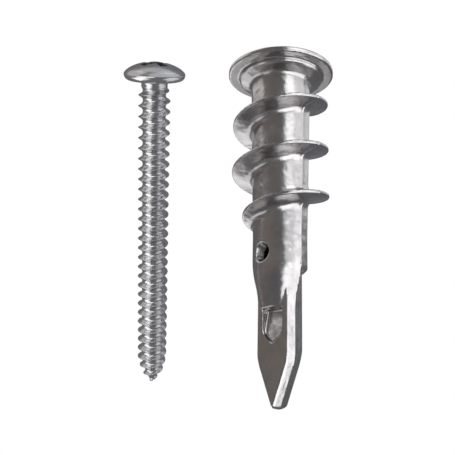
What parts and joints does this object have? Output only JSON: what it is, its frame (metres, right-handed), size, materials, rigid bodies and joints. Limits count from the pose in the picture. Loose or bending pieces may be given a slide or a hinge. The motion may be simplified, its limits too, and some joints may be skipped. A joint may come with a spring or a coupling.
{
  "type": "self-drilling wall anchor with screw",
  "caption": "Flanged metal self-drilling wall anchor with a coarse thread, side hole and windowed drill blade, and its loose pan-head tapping screw.",
  "frame": {"origin": "on the anchor's axis in the plane of the flange's underside, which is the surface of the wall", "axes": "+Z along the anchor's axis, out of the wall towards the flange's face; the screw lies to the -X side and the view of the front is along +Y"},
  "size_m": [0.029, 0.0303, 0.048],
  "materials": {
    "cast_zinc": "bright as-cast zinc alloy, smooth with faint pits",
    "zinc_plated_steel": "bright clear zinc plate"
  },
  "bodies": {
    "anchor": {"anchor_body": "cast_zinc"},
    "screw": {"screw": "zinc_plated_steel"}
  },
  "joints": [
    {"name": "screw_turn", "type": "hinge", "parent": "anchor", "child": "screw", "pos_m": [-0.0175, -0.0093, -0.0064], "axis": [-0.0126, -0.5948, 0.8038], "continuous": true}
  ]
}
